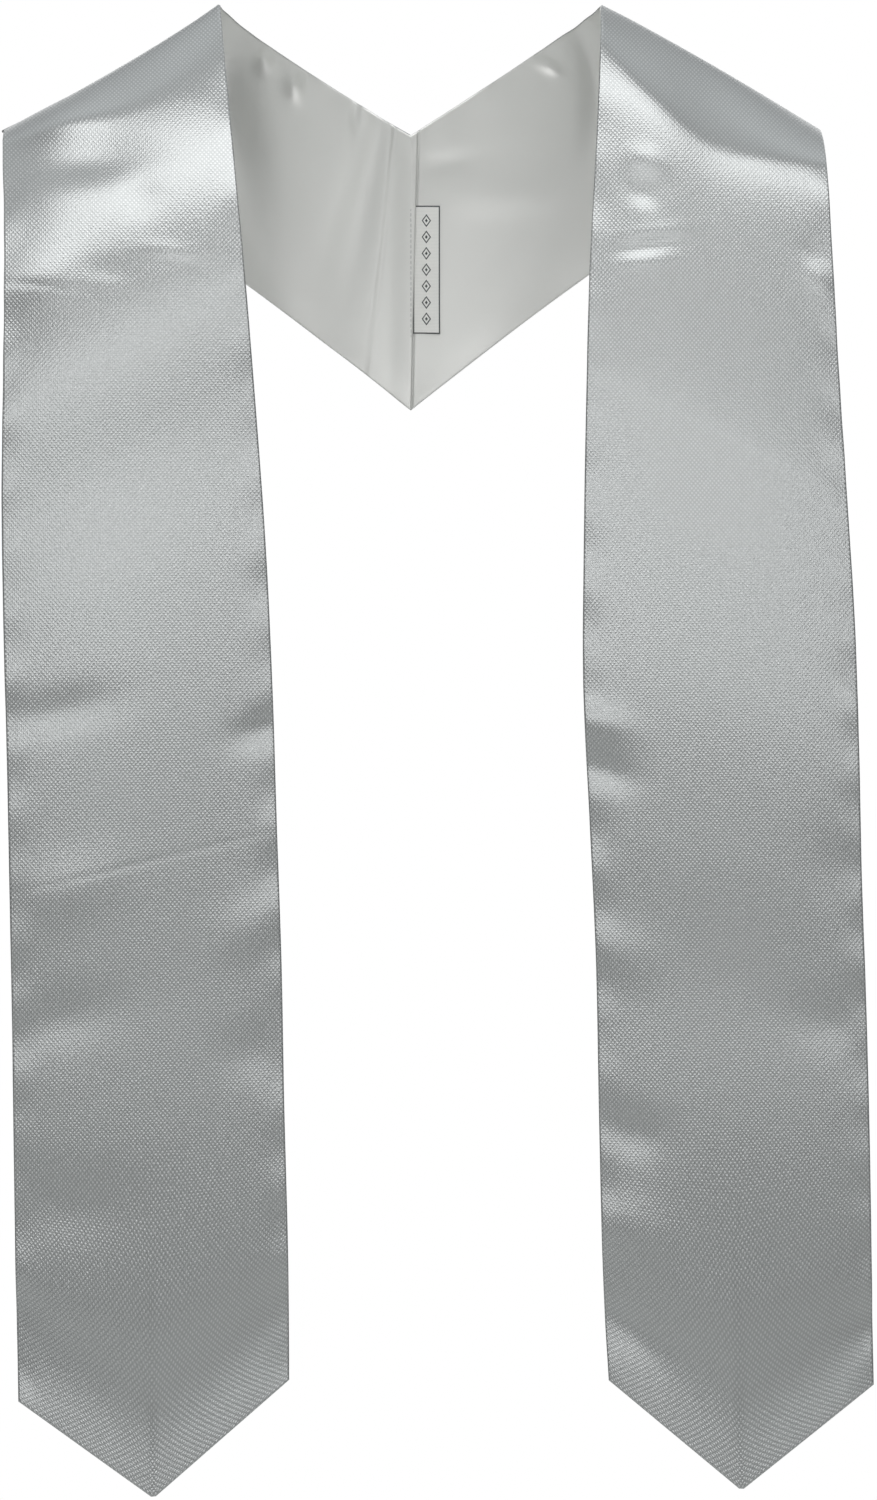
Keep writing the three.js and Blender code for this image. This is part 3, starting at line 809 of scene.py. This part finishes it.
down_seam = np.linspace(SEAM_MARGIN, 1 - SEAM_MARGIN, SEAM_POINTS)
seam_normal = band_normals("right", down_seam, np.full(SEAM_POINTS, -1.0))
seam_points = band_points("right", down_seam, -1.0) + seam_normal * STITCH_DEPTH
seam_points[:, 0] = 0
seam_curve = bpy.data.curves.new("nape_seam", "CURVE")
seam_curve.dimensions = "3D"
spline = seam_curve.splines.new("POLY")
spline.points.add(SEAM_POINTS - 1)
spline.points.foreach_set("co", np.c_[seam_points, np.ones(SEAM_POINTS)].ravel())
seam_line = bpy.data.objects.new("nape_seam", seam_curve)
bpy.context.scene.collection.objects.link(seam_line)
tree = stitch_tree()
sewing = seam_line.modifiers.new("sewing", "NODES")
sewing.node_group = tree
sizes = {
    "Pitch": STITCH_PITCH,
    "Length": STITCH_LENGTH,
    "Thickness": STITCH_THICK,
    "Thread": thread_material(),
}
for socket in tree.interface.items_tree:
    if socket.name in sizes:
        sewing[socket.identifier] = sizes[socket.name]
sewn = seam_line.evaluated_get(bpy.context.evaluated_depsgraph_get())
stitches = bpy.data.objects.new("nape_stitches", bpy.data.meshes.new_from_object(sewn))
bpy.data.objects.remove(seam_line)
bpy.context.scene.collection.objects.link(stitches)
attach(stitches, "root")


# The studio.
# A pale floor far below the hanging hem, a long lens at the height of the stole's middle, a wide key light
# above the front, a soft light to each side of the camera, and a weaker one behind the stole.
CAMERA_AT = (13.6 * MM, -4.0, -330.4 * MM)
PIXEL_AT_BANDS, PICTURE_HEIGHT = 0.474 * MM, 1500
SENSOR = 36
camera_data = bpy.data.cameras.new("camera")
camera_data.sensor_width = SENSOR
camera_data.lens = SENSOR * (-CAMERA_AT[1] - CHEST_DEPTH) / (PICTURE_HEIGHT * PIXEL_AT_BANDS)
camera = bpy.data.objects.new("camera", camera_data)
camera.location = CAMERA_AT
camera.rotation_euler = (math.pi / 2, 0, 0)
bpy.context.scene.collection.objects.link(camera)
bpy.context.scene.camera = camera

FLOOR_Z, FLOOR_HALF = -1.42, 5
floor_corners = [(x * FLOOR_HALF, y * FLOOR_HALF, FLOOR_Z) for x, y in ((-1, -1), (1, -1), (1, 1), (-1, 1))]
floor_mesh = bpy.data.meshes.new("floor")
floor_mesh.from_pydata(floor_corners, [], [(0, 1, 2, 3)])
floor = bpy.data.objects.new("floor", floor_mesh)
bpy.context.scene.collection.objects.link(floor)
floor_material, tree = new_material("pale_floor")
paint = add(tree, "ShaderNodeBsdfPrincipled", Base_Color=srgb("#E8E8E6"), Roughness=0.8)
add(tree, "ShaderNodeOutputMaterial", [("Surface", paint.outputs["BSDF"])])
floor.data.materials.append(floor_material)


def soft_light(name, place, target, size, power):
    data = bpy.data.lights.new(name, "AREA")
    data.shape = "RECTANGLE"
    data.size, data.size_y = size
    data.energy = power
    light = bpy.data.objects.new(name, data)
    light.location = place
    light.rotation_euler = (Vector(target) - Vector(place)).to_track_quat("-Z", "Y").to_euler()
    light.visible_camera = False
    bpy.context.scene.collection.objects.link(light)


soft_light("key", (-0.15, -1.3, 1.7), (0, -0.05, 0), (3.0, 1.4), 36)
soft_light("front_left", (-0.95, -4.15, 0.65), (0, -0.1, -0.1), (1.3, 2), 25)
soft_light("front_right", (1.1, -4.1, 0.65), (0, -0.1, -0.1), (1.2, 2), 21)
soft_light("back", (0.2, 3.0, 0.3), (0, 0, -0.3), (2.5, 1.6), 20)

# The room glows overhead and behind the stole and is dark below and in front. To the camera it is plain white.
world = bpy.data.worlds.new("studio")
world.use_nodes = True
bpy.context.scene.world = world
world.node_tree.nodes.clear()
tree = world.node_tree
direction = add(tree, "ShaderNodeTexCoord")
toward = add(tree, "ShaderNodeSeparateXYZ", [("Vector", direction.outputs["Generated"])])
above = add(
    tree,
    "ShaderNodeMapRange",
    [("Value", toward.outputs["Z"])],
    From_Min=0.25,
    From_Max=1.0,
    To_Min=0.03,
    To_Max=1.15,
)
behind = add(
    tree,
    "ShaderNodeMapRange",
    [("Value", toward.outputs["Y"])],
    interpolation_type="SMOOTHSTEP",
    From_Min=-0.3,
    From_Max=0.4,
    To_Min=0.1,
    To_Max=1.0,
)
glow_parts = [(0, above.outputs["Result"]), (1, behind.outputs["Result"])]
glow = add(tree, "ShaderNodeMath", glow_parts, operation="MULTIPLY")
room = add(tree, "ShaderNodeBackground", [("Strength", glow.outputs[0])], Color=srgb("#E6EAEC"))
backdrop = add(tree, "ShaderNodeBackground", Color=(1, 1, 1, 1), Strength=1.0)
seen = add(tree, "ShaderNodeLightPath")
sky = add(
    tree,
    "ShaderNodeMixShader",
    [
        (0, seen.outputs["Is Camera Ray"]),
        (1, room.outputs["Background"]),
        (2, backdrop.outputs["Background"]),
    ],
)
add(tree, "ShaderNodeOutputWorld", [("Surface", sky.outputs["Shader"])])
bpy.context.scene.view_settings.view_transform = "Standard"
